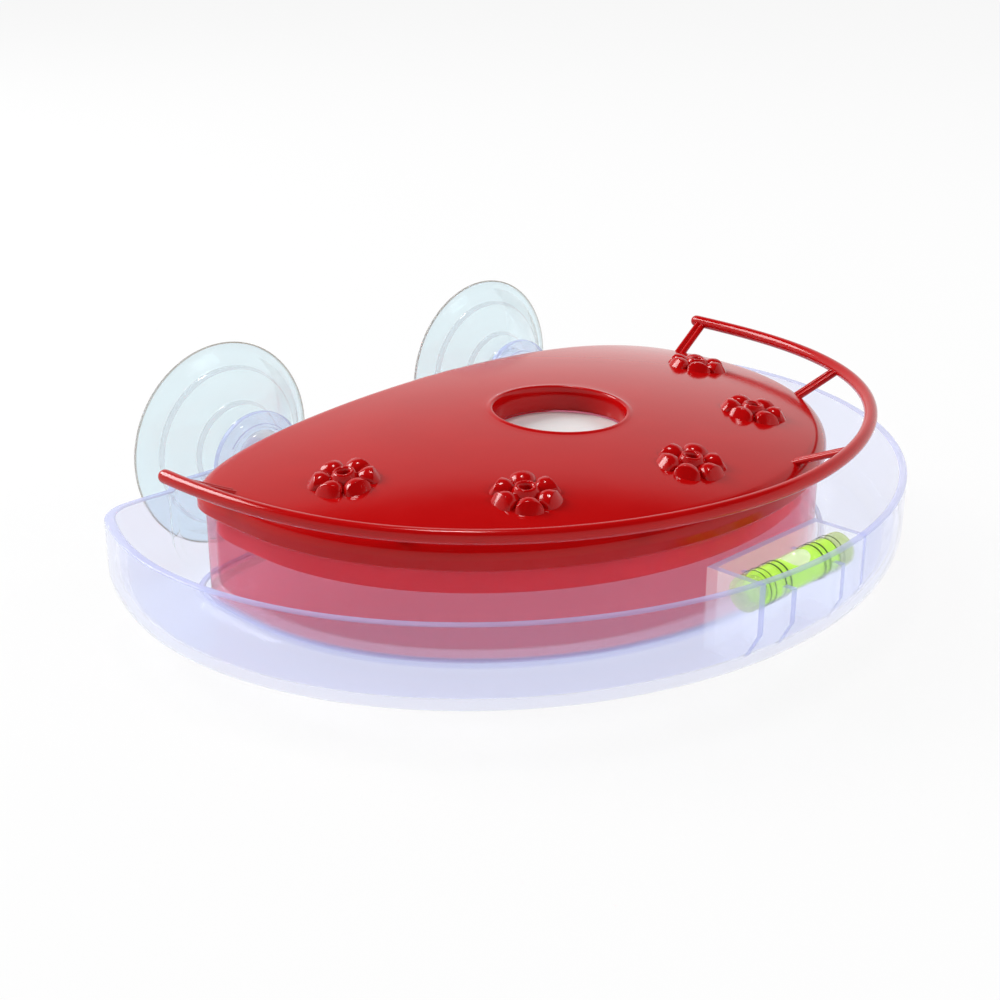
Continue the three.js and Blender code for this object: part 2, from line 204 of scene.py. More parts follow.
def lathe(name, profile, place, segments, sharp=30):
    """A turned solid; profile is (radius, along), from axis to axis or back to its start; place maps it."""
    verts, faces, starts = [], [], []
    ang = np.linspace(0, 2 * math.pi, segments, endpoint=False)
    for r, s in profile:
        starts.append(len(verts))
        if r < 1e-6:
            verts.append(place(s, 0.0, 0.0))
        else:
            verts.extend(place(s, r * math.cos(t), r * math.sin(t)) for t in ang)
    for k in range(len(profile) - 1):
        a, b = starts[k], starts[k + 1]
        from_point, to_point = profile[k][0] < 1e-6, profile[k + 1][0] < 1e-6
        if from_point and to_point:
            continue
        for i in range(segments):
            j = (i + 1) % segments
            if from_point:
                faces.append((a, b + i, b + j))
            elif to_point:
                faces.append((a + i, a + j, b))
            else:
                faces.append((a + i, a + j, b + j, b + i))
    return mesh_object(name, row(verts), faces, sharp)


def block(name, x0, x1, y0, y1, z0, z1):
    c = [(x, y, z) for x in (x0, x1) for y in (y0, y1) for z in (z0, z1)]
    f = [(0, 1, 3, 2), (4, 6, 7, 5), (0, 4, 5, 1), (2, 3, 7, 6), (0, 2, 6, 4), (1, 5, 7, 3)]
    return mesh_object(name, row(c), f)


def combine(base, tool, how):
    """Joins a second object to the first, or cuts with it, and removes it."""
    mod = base.modifiers.new("cut", "BOOLEAN")
    mod.operation = how
    mod.solver = "EXACT"
    mod.object = tool
    bpy.context.view_layer.update()
    deps = bpy.context.evaluated_depsgraph_get()
    made = bpy.data.meshes.new_from_object(base.evaluated_get(deps))
    base.modifiers.remove(mod)
    base.data = made
    bpy.data.objects.remove(tool)


def weld(name, parts, sharp=32):
    """One object holding the meshes of several."""
    bm = bmesh.new()
    for p in parts:
        bm.from_mesh(p.data)
    mesh = bpy.data.meshes.new(name)
    bm.to_mesh(mesh)
    bm.free()
    for p in parts:
        bpy.data.objects.remove(p)
    obj = bpy.data.objects.new(name, mesh)
    scene.collection.objects.link(obj)
    tidy(obj, sharp)
    return obj


def sweep(name, path, radius, around, flat=1.0):
    """A round bar along a path with rounded ends."""
    p = np.asarray(path, float)
    tangent = np.gradient(p, axis=0)
    tangent /= np.linalg.norm(tangent, axis=1)[:, None]
    up = np.array([0.0, 0.0, 1.0])
    side = np.cross(tangent, up)
    side /= np.linalg.norm(side, axis=1)[:, None]
    top = np.cross(side, tangent)
    ang = np.linspace(0, 2 * math.pi, around, endpoint=False)
    rings = []

    def loop(i, shift, scale):
        c = p[i] + tangent[i] * shift
        return c + scale * radius * (np.outer(np.cos(ang), side[i]) + flat * np.outer(np.sin(ang), top[i]))

    for a in arc(4, 80, 0)[:-1]:
        rings.append(loop(0, -radius * math.sin(a), math.cos(a)))
    for i in range(len(p)):
        rings.append(loop(i, 0.0, 1.0))
    for a in arc(4, 0, 80)[1:]:
        rings.append(loop(len(p) - 1, radius * math.sin(a), math.cos(a)))
    return skin(name, rings, wrap=False, caps=(True, True))


# Materials
def material(name):
    mat = bpy.data.materials.new(name)
    mat.use_nodes = True
    nodes = mat.node_tree.nodes
    return mat, nodes, mat.node_tree.links, nodes["Principled BSDF"]


def surface_grain(nodes, links, shader, scale, strength, rough, spread):
    """Fine unevenness of moulded plastic: a faint bump and a slightly varied roughness."""
    coord = nodes.new("ShaderNodeTexCoord")
    noise = nodes.new("ShaderNodeTexNoise")
    noise.inputs["Scale"].default_value = scale
    noise.inputs["Detail"].default_value = 4
    links.new(coord.outputs["Object"], noise.inputs["Vector"])
    bump = nodes.new("ShaderNodeBump")
    bump.inputs["Strength"].default_value = strength
    bump.inputs["Distance"].default_value = 0.001
    links.new(noise.outputs["Fac"], bump.inputs["Height"])
    links.new(bump.outputs["Normal"], shader.inputs["Normal"])
    span = nodes.new("ShaderNodeMapRange")
    span.inputs["To Min"].default_value = rough - spread
    span.inputs["To Max"].default_value = rough + spread
    links.new(noise.outputs["Fac"], span.inputs["Value"])
    links.new(span.outputs["Result"], shader.inputs["Roughness"])
    return noise


def red_plastic(name, gain, lift):
    """Glossy red; gain and lift make it lighter."""
    mat, nodes, links, sh = material(name)
    noise = surface_grain(nodes, links, sh, 60.0, 0.04, 0.13, 0.03)
    tint = nodes.new("ShaderNodeValToRGB")
    tint.color_ramp.elements[0].color = (0.43 * gain, 0.0015 + lift, 0.0018 + lift, 1)
    tint.color_ramp.elements[1].color = (0.51 * gain, 0.0026 + lift, 0.0032 + lift, 1)
    links.new(noise.outputs["Fac"], tint.inputs["Fac"])
    links.new(tint.outputs["Color"], sh.inputs["Base Color"])
    sh.inputs["IOR"].default_value = 1.36
    return mat


def clear(name, base, rough, ior, solid, through, coat, grain=40.0, bump=0.03, depth=None, density=0.0):
    """See-through plastic: solid is the share of the surface that isn't open, through its glass share."""
    mat, nodes, links, sh = material(name)
    surface_grain(nodes, links, sh, grain, bump, rough, rough * 0.5)
    sh.inputs["Base Color"].default_value = base
    sh.inputs["Transmission Weight"].default_value = through
    sh.inputs["IOR"].default_value = ior
    sh.inputs["Alpha"].default_value = solid
    sh.inputs["Coat Weight"].default_value = coat
    sh.inputs["Coat Roughness"].default_value = 0.04
    if depth:
        vol = nodes.new("ShaderNodeVolumeAbsorption")
        vol.inputs["Color"].default_value = depth
        vol.inputs["Density"].default_value = density
        links.new(vol.outputs["Volume"], nodes["Material Output"].inputs["Volume"])
    return mat


def glow_softly(mat, colour, strength):
    """The light a piece picks up from all round, which the plain studio doesn't give it."""
    shader = mat.node_tree.nodes["Principled BSDF"]
    shader.inputs["Emission Color"].default_value = colour
    shader.inputs["Emission Strength"].default_value = strength


def matt(name, colour):
    mat, nodes, links, sh = material(name)
    surface_grain(nodes, links, sh, 200.0, 0.02, 0.4, 0.08)
    sh.inputs["Base Color"].default_value = colour
    return mat


RED = red_plastic("red_plastic", 1.0, 0.0)
# Painted light: a lighter copy of the red for the plug wall, standing in for the light that reaches it through
# the bowl.
PLUG = red_plastic("red_plastic_lit_through", 1.9, 0.09)
TRAY = clear("clear_plastic", (0.76, 0.8, 1.0, 1),
             rough=0.02, ior=1.02, solid=0.55, through=0.94, coat=0.6, bump=0.012)
# Painted light: the edge finish is a denser lavender standing in for the light carried along the tray's rim,
# lip and tab arches.
EDGE = clear("clear_plastic_edge", (0.52, 0.56, 0.93, 1),
             rough=0.05, ior=1.05, solid=0.65, through=0.35, coat=0.5)
FROST = clear("clear_plastic_frosted", (0.95, 1.0, 0.96, 1),
              rough=0.3, ior=1.1, solid=0.95, through=0.2, coat=0.3)
PVC = clear("clear_pvc", (0.72, 0.9, 0.96, 1),
            rough=0.06, ior=1.28, solid=0.7, through=0.9, coat=0.5, grain=25.0)
STEP = clear("clear_pvc_step", (0.66, 0.78, 0.86, 1),
             rough=0.1, ior=1.2, solid=0.75, through=0.6, coat=0.6)
LIP = clear("clear_pvc_lip", (0.34, 0.31, 0.24, 1),
            rough=0.1, ior=1.2, solid=0.65, through=0.4, coat=0.4)
KNOB = clear("clear_pvc_knob", (0.93, 0.94, 0.84, 1),
             rough=0.04, ior=1.22, solid=0.55, through=0.8, coat=0.9)
THIN = clear("clear_plastic_thin", (0.95, 0.97, 1.0, 1),
             rough=0.02, ior=1.02, solid=0.36, through=0.7, coat=0.6, bump=0.012)
glow_softly(THIN, (0.93, 0.95, 1.0, 1), 0.18)
BOWL = clear("tinted_plastic", (0.81, 0.2, 0.28, 1),
             rough=0.02, ior=1.02, solid=0.61, through=0.87, coat=0.4, bump=0.012)
# Painted highlight: a lighter pink for the bowl's rounded lower edge, standing in for the light it carries.
BOWL_EDGE = clear("tinted_plastic_edge", (0.95, 0.6, 0.68, 1),
                  rough=0.05, ior=1.05, solid=0.65, through=0.3, coat=0.5)
VIAL = clear("vial_plastic", (0.9, 1.0, 0.6, 1),
             rough=0.02, ior=1.05, solid=0.2, through=0.7, coat=0.8,
             depth=(0.8, 0.97, 0.4, 1), density=20.0)
LIME_DEPTH = (0.7, 0.95, 0.05, 1)
LIME = clear("lime_liquid", (0.66, 0.95, 0.12, 1),
             rough=0.02, ior=1.05, solid=0.85, through=0.4, coat=0.3, grain=30.0, bump=0.0,
             depth=LIME_DEPTH, density=60.0)
glow_softly(LIME, (0.6, 1.0, 0.1, 1), 0.22)
BUBBLE = clear("lime_liquid_bubble", (0.9, 0.9, 0.84, 1),
               rough=0.02, ior=1.05, solid=0.85, through=0.3, coat=0.8, grain=30.0, bump=0.0,
               depth=LIME_DEPTH, density=60.0)
glow_softly(BUBBLE, (1.0, 0.97, 0.9, 1), 0.3)
STOP = clear("vial_stopper", (0.8, 0.92, 0.4, 1),
             rough=0.2, ior=1.1, solid=0.6, through=0.5, coat=0.0,
             depth=(0.6, 0.9, 0.2, 1), density=25.0)
DARK = matt("vial_ring", (0.02, 0.05, 0.015, 1))
TRAY_LOOKS = (TRAY, EDGE, FROST, THIN)
CUP_LOOKS = (PVC, STEP, LIP, KNOB)


def finish_piece(obj, mats, body, slot, *nodes, pick=None):
    """Gives a piece its finishes, by face where there are several, and fixes it to its body."""
    choice = [pick(face) for face in obj.data.polygons] if pick else []
    obj.data.materials.clear()
    for mat in mats if pick else [mats]:
        obj.data.materials.append(mat)
    for face, number in zip(obj.data.polygons, choice):
        face.material_index = number
    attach(obj, body)
    if nodes:
        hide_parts(*nodes)


# Pieces
def along_x(s, u, v):
    """Place of a turned point on the vial's axis."""
    return (s, VIAL_Y + u, VIAL_Z + v)


def tray_shell():
    """The tray's shell, from the hollow under the post round to the middle of the post's top."""
    hollow_r = POST_R - POST_WALL
    roof = POST_TOP - POST_WALL
    rings = [ring(hollow_r * 0.5, roof), ring(hollow_r - 0.6, roof), ring(hollow_r, roof - 0.8)]
    foot_r = hollow_r + 1.0
    under = tray_plan(FOOT_IN)
    rings += [ring(hollow_r, 0.0), ring(foot_r, 0.0)]
    rings += [ring(foot_r + (under - foot_r) * s, 0.0) for s in (0.35, 0.7, 1.0)]
    for a in arc(8)[1:]:
        rings.append(ring(tray_plan(FOOT_IN * (1 - math.sin(a))), FOOT_H * (1 - math.cos(a))))
    outer, inner = tray_plan(0), tray_plan(TRAY_WALL)
    rim = TRAY_H - RIM_R
    rings += [ring(outer, z) for z in (15, 20, rim)]
    for a in arc(4)[1:]:
        rings.append(ring(tray_plan(RIM_R * (1 - math.cos(a))), rim + RIM_R * math.sin(a)))
    for a in arc(4):
        rings.append(ring(tray_plan(TRAY_WALL - RIM_R + RIM_R * math.sin(a)), rim + RIM_R * math.cos(a)))
    rings += [ring(inner, z) for z in (20, 15, FOOT_H)]
    for a in arc(6)[1:]:
        drop = (FOOT_H - TRAY_FLOOR) * math.sin(a)
        rings.append(ring(tray_plan(TRAY_WALL + (FOOT_IN - 1) * (1 - math.cos(a))), FOOT_H - drop))
    lip_out, lip_in = leaf(LIP_OUT), leaf(LIP_IN)
    rings += [ring(lip_out + dr, TRAY_FLOOR + up) for dr, up in ((1.0, 0), (0.2, 0.5), (0, 2.5), (-0.4, LIP_H))]
    rings += [ring(lip_in + dr, TRAY_FLOOR + up) for dr, up in ((0.4, LIP_H), (0, 2.5), (0, 0))]
    rings += [ring(lip_in + (POST_R + 1.2 - lip_in) * s, TRAY_FLOOR) for s in (0.4, 0.8)]
    rings += [ring(POST_R + dr, TRAY_FLOOR + up) for dr, up in ((1.0, 0), (0.2, 0.8), (0, 2))]
    rings += [ring(POST_R - dr, POST_TOP - down) for dr, down in ((0, 1.0), (0.3, 0.3), (1.0, 0))]
    rings.append(ring(POST_R * 0.5, POST_TOP))
    return skin("tray_shell", rings, wrap=False, caps=(True, True))


def tab_profile():
    """Half section of the tab that holds a cup, with a fine ring on its front."""
    y0, y1 = TRAY_BACK - TRAY_WALL, TRAY_BACK
    ring_h, round_r = 0.45, 0.7
    return [(0, y0), (11.0, y0), (11.25, y0 - ring_h), (12.0, y0 - ring_h), (12.25, y0),
            (TAB_R - round_r, y0), (TAB_R - 0.2, y0 + 0.25), (TAB_R, y0 + round_r),
            (TAB_R, y1 - round_r), (TAB_R - 0.2, y1 - 0.25), (TAB_R - round_r, y1), (0, y1)]


def level_box():
    """The open box that holds the level: walls, two ribs and the seat cut into them."""
    front = TRAY_MID_Y - TRAY_FRONT
    inside = BOX_HALF - BOX_WALL
    seat = VIAL_R + GAP
    box = block("box", -BOX_HALF, BOX_HALF, front, BOX_BACK, BOX_LOW, BOX_TOP)
    combine(box, block("room", -inside, inside, front - 5, BOX_BACK - BOX_WALL, 0.0, 30.0), "DIFFERENCE")
    for x in (-RIB_X, RIB_X):
        combine(box, block("rib", x - 1, x + 1, front, BOX_BACK - 1, BOX_LOW, VIAL_Z + 1), "UNION")
    notch = [(0, -SEAT_HALF), (seat, -SEAT_HALF), (seat, SEAT_HALF), (0, SEAT_HALF)]
    combine(box, lathe("notch", notch, along_x, 64), "DIFFERENCE")
    slot = block("slot", -SEAT_HALF, SEAT_HALF, VIAL_Y - seat, VIAL_Y + seat, VIAL_Z, 30)
    combine(box, slot, "DIFFERENCE")
    inside_tray = [ring(tray_plan(inset), z) for inset, z in ((9.5, 1.2), (5.0, 4.5), (1.2, 11.5), (1.2, 40.0))]
    combine(box, skin("limit", inside_tray, wrap=False, caps=(True, True)), "INTERSECT")
    box.data.materials.clear()
    for mat in TRAY_LOOKS:
        box.data.materials.append(mat)
    for face in box.data.polygons:
        front_edge = face.normal.y < -0.3 and face.center.y * 1000 < -170
        face.material_index = 1 if front_edge or face.normal.z > 0.9 else 3
    return box


def make_tray():
    tray = tray_shell()
    for side in (-1, 1):
        tab = lathe("tab", tab_profile(), lambda s, u, v: (side * CUP_X + u, s, TAB_Z + v), 128)
        combine(tray, tab, "UNION")
    box = level_box()
    through = [(0, 66), (TAB_HOLE, 66), (TAB_HOLE, 80), (0, 80)]
    for side in (-1, 1):
        hole = lathe("hole", through, lambda s, u, v: (side * CUP_X + u, s, CUP_Z + v), 64)
        combine(tray, hole, "DIFFERENCE")
    return weld("tray_shell", [tray, box])


def tray_place(face):
    """The middle of a face, in tray millimetres."""
    return face.center * 1000 + Vector((0, WINDOW_Y, CUP_Z))


def tray_finish_or_painted_light(face):
    """Which finish a tray face has: 0 clear, 1 edges painted a denser lavender that stands in for the light
    they carry, 2 frosted post top, 3 level walls.
    """
    if face.material_index:
        return face.material_index
    x, y, z = tray_place(face)
    if z > POST_TOP - 0.4 and math.hypot(x, y - HOLE_Y) < POST_R:
        return 2
    rim = z > TRAY_H - 0.45 and abs(face.normal.z) > 0.5 and y < TRAY_BACK - 0.1
    lip = abs(z - TRAY_FLOOR - LIP_H + 0.1) < 0.3 and face.normal.z > 0.4 and y < TRAY_SIDE
    arch = abs(math.hypot(abs(x) - CUP_X, z - TAB_Z) - TAB_R) < 0.4 and y > TRAY_SIDE and z > TRAY_H
    return 1 if rim or lip or arch else 0


def cup_finish(face):
    """Which finish a cup face has: 0 clear, 1 the two raised steps, 2 the thin lip, 3 the knob."""
    x, y, z = face.center * 1000
    r = math.hypot(abs(x) - CUP_X, z)
    if r > CUP_LIP:
        return 2
    if y < TRAY_BACK - TRAY_WALL - WINDOW_Y:
        return 3
    step = any(low < r < high for low, high in CUP_STEPS)
    return 1 if step and face.normal.y < 0 else 0


def lid_finish_or_painted_light(face):
    """Which finish a lid face has: 0 red, 1 the plug wall, painted a lighter red for the light that reaches it
    through the bowl.
    """
    x, y, z = tray_place(face)
    return 1 if z < SKIRT_LOW + 1.5 and abs(face.normal.z) < 0.9 and face_inset(x, y) > 1.5 else 0


def bowl_finish_or_painted_light(face):
    """Which finish a bowl face has: 0 tinted, 1 the rounded lower edge, painted a lighter pink as a highlight
    for the light it carries.
    """
    x, y, z = tray_place(face)
    return 1 if z < 4.6 and face_inset(x, y) < 1.9 else 0


def liquid_finish(face):
    """Which finish a liquid face has: 0 lime, 1 the skin of the bubble."""
    x, y, z = tray_place(face)
    inside = math.hypot(y - VIAL_Y, z - VIAL_Z) < LIQUID_R - 0.05
    return 1 if inside and abs(x) < 6 and face.normal.z > 0.1 else 0


def face_inset(x, y):
    """How far inside the bowl's plan a point lies."""
    turn = math.atan2(y - HOLE_Y, x) % (2 * math.pi)
    return float(np.interp(turn, THETA, PLAN_EDGE)) - math.hypot(x, y - HOLE_Y)


PLAN_EDGE = leaf(0)


def make_bowl():
    rings = []
    edge_in = 1.8
    for a in arc(5):
        rings.append(ring(leaf(-edge_in * (1 - math.sin(a))), BOWL_UNDER + BOWL_WALL * (1 - math.cos(a))))
    rings += [ring(leaf(0), z) for z in (14, 24, BOWL_TOP - 0.8)]
    for grow, down in ((-0.3, 0.2), (-0.8, 0), (-1.2, 0), (-1.7, 0.2)):
        rings.append(ring(leaf(grow), BOWL_TOP - down))
    round_z = BOWL_FLOOR + BOWL_ROUND
    rings += [ring(leaf(-BOWL_WALL), z) for z in (BOWL_TOP - 0.8, 24, 14, round_z)]
    for a in arc(6)[1:]:
        grow = -BOWL_WALL - BOWL_ROUND * (1 - math.cos(a))
        rings.append(ring(leaf(grow), round_z - BOWL_ROUND * math.sin(a)))
    edge = leaf(-BOWL_WALL - BOWL_ROUND)
    stem = CHIMNEY_R + BOWL_WALL
    rings += [ring(edge + (stem + 2 - edge) * s, BOWL_FLOOR) for s in (0.3, 0.65)]
    for a in arc(5):
        rings.append(ring(stem + 2 * (1 - math.sin(a)), BOWL_FLOOR + 2 * (1 - math.cos(a))))
    top, soft = CHIMNEY_TOP, 0.6
    rings += [ring(r, z) for r, z in ((stem, 20), (stem, top - soft), (stem - soft, top))]
    rings += [ring(CHIMNEY_R + dr, z) for dr, z in ((soft, top), (0, top - soft), (0, 20),
                                                    (0, BOWL_UNDER + 0.5), (0.5, BOWL_UNDER))]
    low = leaf(-edge_in)
    rings += [ring(CHIMNEY_R + 1 + (low - CHIMNEY_R - 1) * s, BOWL_UNDER) for s in (0.4, 0.8)]
    return skin("bowl_shell", rings)


def make_lid():
    edge = leaf(LID_GROW)
    rings = [ring(leaf(LID_GROW - 0.3), SKIRT_LOW), ring(edge, SKIRT_LOW + 0.4),
             ring(edge, dome_z(edge) - LID_EDGE - 0.3)]
    for a in arc(9):
        r = leaf(LID_GROW - LID_EDGE * (1 - math.cos(a)))
        rings.append(ring(r, dome_z(r) - LID_EDGE * (1 - math.sin(a))))
    start = leaf(LID_GROW - LID_EDGE)
    lip = HOLE_R + 2.3
    for s in np.linspace(0, 1, 26)[1:]:
        r = start + (lip - start) * s
        rings.append(ring(r, dome_z(r)))
    for dr, dz in ((1.8, 0.05), (1.4, 0.18), (1.0, 0.28), (0.62, 0.26), (0.28, 0.06), (0.07, -0.32)):
        rings.append(ring(HOLE_R + dr, dome_z(HOLE_R + dr) + dz))
    collar = HOLE_R + COLLAR_WALL
    rings += [ring(HOLE_R, 43.0), ring(HOLE_R, POST_TOP + 0.8), ring(HOLE_R + 0.5, POST_TOP + GAP),
              ring(HOLE_R + 1.5, POST_TOP + GAP), ring(collar, POST_TOP + 0.8),
              ring(collar, dome_z(collar) - LID_T - 0.4)]
    plug_in, plug_out = leaf(PLUG_IN), leaf(PLUG_OUT)
    for s in np.linspace(0.02, 1, 12):
        r = collar + (plug_in - collar) * s
        rings.append(ring(r, dome_z(r) - LID_T))
    rings += [ring(plug_in, 30.0), ring(plug_in, PLUG_LOW), ring(leaf(PLUG_OUT - 0.3), PLUG_LOW),
              ring(plug_out, PLUG_LOW + 0.6), ring(plug_out, BOWL_TOP + GAP)]
    rings += [ring(leaf(GAP), z) for z in (BOWL_TOP + GAP, SKIRT_LOW)]
    return skin("lid_shell", rings)


def rail_path():
    """The rail's middle line, with even steps."""
    t = np.linspace(0, math.pi, 1200)
    x = RAIL_A * signed_power(np.cos(t), RAIL_BEND_X)
    y = RAIL_Y - RAIL_B * np.abs(np.sin(t)) ** RAIL_BEND_Y
    d = np.concatenate([[0], np.cumsum(np.hypot(np.diff(x), np.diff(y)))])
    end, steps = 1.6, 260
    s = np.linspace(end, d[-1] - end, steps)
    return np.stack([np.interp(s, d, x), np.interp(s, d, y), np.full(steps, RAIL_Z)], 1)


def make_rail():
    parts = [sweep("rail_bar", rail_path(), RAIL_R, 20)]
    for side in (-1, 1):
        for turn, fx, fy in STRUTS:
            a = np.array([side * RAIL_A * math.cos(turn) ** RAIL_BEND_X,
                          RAIL_Y - RAIL_B * math.sin(turn) ** RAIL_BEND_Y, RAIL_Z])
            b = np.array([side * fx, fy, STRUT_FOOT_Z])
            way = b - a
            across = np.cross(way, [0, 0, 1.0])
            across /= np.linalg.norm(across)
            line = np.array([a + way * s for s in np.linspace(0.0, 0.74, 10)])
            for off in (-1.05, 1.05):
                parts.append(sweep("strut", line + across * off, 1.0, 12, 0.9))
            parts.append(sweep("web", line - [0, 0, 0.25], 1.5, 12, 0.45))
    return weld("perch_rail_bar", parts)


def petal_loops():
    """Loops of one petal lying along +x: an arched wedge that widens outwards, with a bevelled end."""
    over, below = 25, 7
    phi = np.radians(np.linspace(-90, 90, over))
    back_y = np.linspace(1, -1, below + 2)[1:-1]
    loops = []

    def close(r, y, z, foot):
        tail = np.stack([np.full(below, foot), back_y * abs(y[0]), np.full(below, -1.6)], 1)
        return np.concatenate([np.stack([r, y, z], 1), tail])

    edge_r, wide, high, bevel = 8.0, 3.85, 3.5, 2.5
    root_r, root_wide, root_high = 2.4, 1.5, 1.3
    for f in (0, 0.14, 0.28, 0.42, 0.56, 0.7, 0.84, 0.95, 1.0):
        r = root_r + (edge_r - root_r) * f
        w = root_wide + (wide - root_wide) * math.sin(f * math.pi / 2)
        rise = math.sin(min(1.0, f / 0.75) * math.pi / 2)
        h = root_high + (high - root_high) * rise - 0.35 * max(0.0, f - 0.75)
        lean = -0.3 * f * np.cos(phi)
        loops.append(close(r + lean, w * np.sin(phi), h * np.cos(phi) ** 0.85, r))
    rim_r, rim_z = loops[-1][:over, 0], loops[-1][:over, 2]
    for f in (0.08, 0.25, 0.45, 0.65, 0.85, 1.0):
        bulge = 0.08 * math.sin(math.pi * f)
        r = rim_r + (bevel * f + bulge) * np.cos(phi) ** 0.8
        loops.append(close(r, wide * np.sin(phi), rim_z * (1 - f), edge_r))
    r, y = loops[-1][:over, 0], loops[-1][:over, 1]
    loops.append(close(r, y, np.full(over, -1.5), edge_r))
    return loops


def make_port(index, x, y):
    """A flower that follows the dome's slope, with the drinking tube in its middle."""
    z = dome_at(x, y) - 0.7
    tilt_x = (dome_at(x + 1, y) - dome_at(x - 1, y)) / 2
    tilt_y = (dome_at(x, y + 1) - dome_at(x, y - 1)) / 2
    crisp = 65
    parts = []
    for k in range(PETALS):
        t = math.radians(360 / PETALS * k + PETAL_TURN[index - 1])
        loops = []
        for one in petal_loops():
            dx = one[:, 0] * math.cos(t) - one[:, 1] * math.sin(t)
            dy = one[:, 0] * math.sin(t) + one[:, 1] * math.cos(t)
            loops.append(np.stack([x + dx, y + dy, z + one[:, 2] + tilt_x * dx + tilt_y * dy], 1))
        parts.append(skin("petal", loops, wrap=False, caps=(True, True), sharp=crisp))
    hub = [(0, -6.3), (2.6, -6.3), (3.0, -5.9), (3.0, -1.0), (3.6, -0.6), (3.85, 0.6), (3.85, 1.5), (3.6, 2.3),
           (3.15, 2.9), (3.05, 3.1), (2.95, 3.3), (2.7, 3.5), (2.4, 3.55), (2.0, 3.4), (1.78, 3.05),
           (1.65, 2.5), (1.65, -3.0), (0, -3.0)]
    parts.append(lathe("hub", hub, lambda s, u, v: (x + u, y + v, z + s + tilt_x * u + tilt_y * v), 48))
    return weld(f"flower_{index}", parts, crisp)


def make_cup(side):
    """A cup from its hollow at the window, over the stepped face and the neck, to the knob in front."""
    back, frontside = TRAY_BACK + GAP, TRAY_BACK - TRAY_WALL - GAP
    w = WINDOW_Y
    prof = [(0, w - 5.6), (6, w - 5.45), (12, w - 5.0), (17, w - 4.2), (22, w - 3.0), (26, w - 1.7),
            (29, w - 0.3), (29.4, w), (31.4, w), (31.8, w - 0.3), (32, w - 0.9), (31.6, w - 1.2), (29, w - 2.2),
            (26, w - 3.3), (25.2, w - 3.4), (24.9, w - 4.3), (24.2, w - 5.0), (21, w - 6.2), (17.5, w - 7.7),
            (15.4, w - 8.4),
            (15.0, w - 9.3), (14.3, w - 9.9), (13, w - 10.7), (11.8, w - 11.6), (11.0, w - 12.8),
            (10.5, back + 2.0), (10.1, back + 0.6), (9.4, back), (5.4, back), (5, back - 0.4),
            (5, frontside + 0.3), (5.4, frontside), (8.6, frontside), (9, frontside - 0.4),
            (8.9, frontside - 1.5), (8.3, frontside - 2.6), (6.8, frontside - 3.4), (4, frontside - 3.85),
            (0, frontside - 4.0)]
    return lathe(f"cup_{'left' if side < 0 else 'right'}", prof,
                 lambda s, u, v: (side * CUP_X + u, s, CUP_Z + v), 128, 40)


def make_level():
    """The vial's barrel, its liquid with the bubble cut out, both stoppers and the marks."""
    h = VIAL_HALF
    barrel = lathe("vial_barrel", [(BARREL_IN, -h), (4.8, -h), (VIAL_R, -h + 0.3), (VIAL_R, h - 0.3), (4.8, h),
                                   (BARREL_IN, h), (BARREL_IN, -h)], along_x, 64)
    fill = h - 4.3
    prof = [(0, -fill), (4.1, -fill), (LIQUID_R, -fill + 0.5), (LIQUID_R, fill - 0.5), (4.1, fill), (0, fill)]
    liquid = lathe("vial_fill", prof, along_x, 64)
    ball = [(math.cos(a) if abs(a) < 1.5 else 0.0, math.sin(a)) for a in arc(16, -90, 90)]
    bubble = lathe("bubble", ball, lambda s, u, v: (5.0 * s, VIAL_Y + 6.5 * u, VIAL_Z + 5.1 + 2.7 * v), 40)
    combine(liquid, bubble, "DIFFERENCE")
    tidy(liquid)
    plug = [(0, h - 4.0), (3.4, h - 4.0), (STOPPER_R, h - 3.6), (STOPPER_R, h + 0.3), (4.5, h + 0.3),
            (4.8, h + 0.6), (4.8, h + 1.5), (4.4, h + 1.9), (0, h + 1.9)]
    stoppers = []
    for side in (-1, 1):
        stoppers.append(lathe(f"stopper_{side + 1}", [(r, side * s) for r, s in plug], along_x, 48))
    rings = []
    raised = VIAL_R + 0.12
    for x, half in MARKS:
        for m in (-x, x):
            mark = [(VIAL_R, m - half), (raised, m - half), (raised, m + half), (VIAL_R, m + half),
                    (VIAL_R, m - half)]
            rings.append(lathe("mark", mark, along_x, 64))
    return barrel, liquid, stoppers, weld("vial_marks", rings)


finish_piece(make_tray(), TRAY_LOOKS, "tray_body", "clear_plastic", "tray", pick=tray_finish_or_painted_light)
finish_piece(make_cup(-1), CUP_LOOKS, "cup_left_body", "clear_pvc", "suction_cup_left", pick=cup_finish)
finish_piece(make_cup(1), CUP_LOOKS, "cup_right_body", "clear_pvc", "suction_cup_right", pick=cup_finish)
finish_piece(make_bowl(), (BOWL, BOWL_EDGE), "bowl_body", "tinted_plastic", "bowl", pick=bowl_finish_or_painted_light)
finish_piece(make_lid(), (RED, PLUG), "lid_body", "red_plastic", "lid", pick=lid_finish_or_painted_light)
finish_piece(make_rail(), RED, "lid_body", "red_plastic", "perch_rail")
for number, (px, py) in enumerate(PORTS, 1):
    finish_piece(make_port(number, px, py), RED, "lid_body", "red_plastic", f"feeding_port_{number}")
barrel, liquid, stoppers, marks = make_level()
finish_piece(barrel, VIAL, "tray_body", "vial_plastic", "level_vial")
finish_piece(liquid, (LIME, BUBBLE), "tray_body", "lime_liquid", "vial_liquid", pick=liquid_finish)
finish_piece(stoppers[0], STOP, "tray_body", "vial_stopper", "vial_stopper_left")
finish_piece(stoppers[1], STOP, "tray_body", "vial_stopper", "vial_stopper_right")
finish_piece(marks, DARK, "tray_body", "vial_plastic")

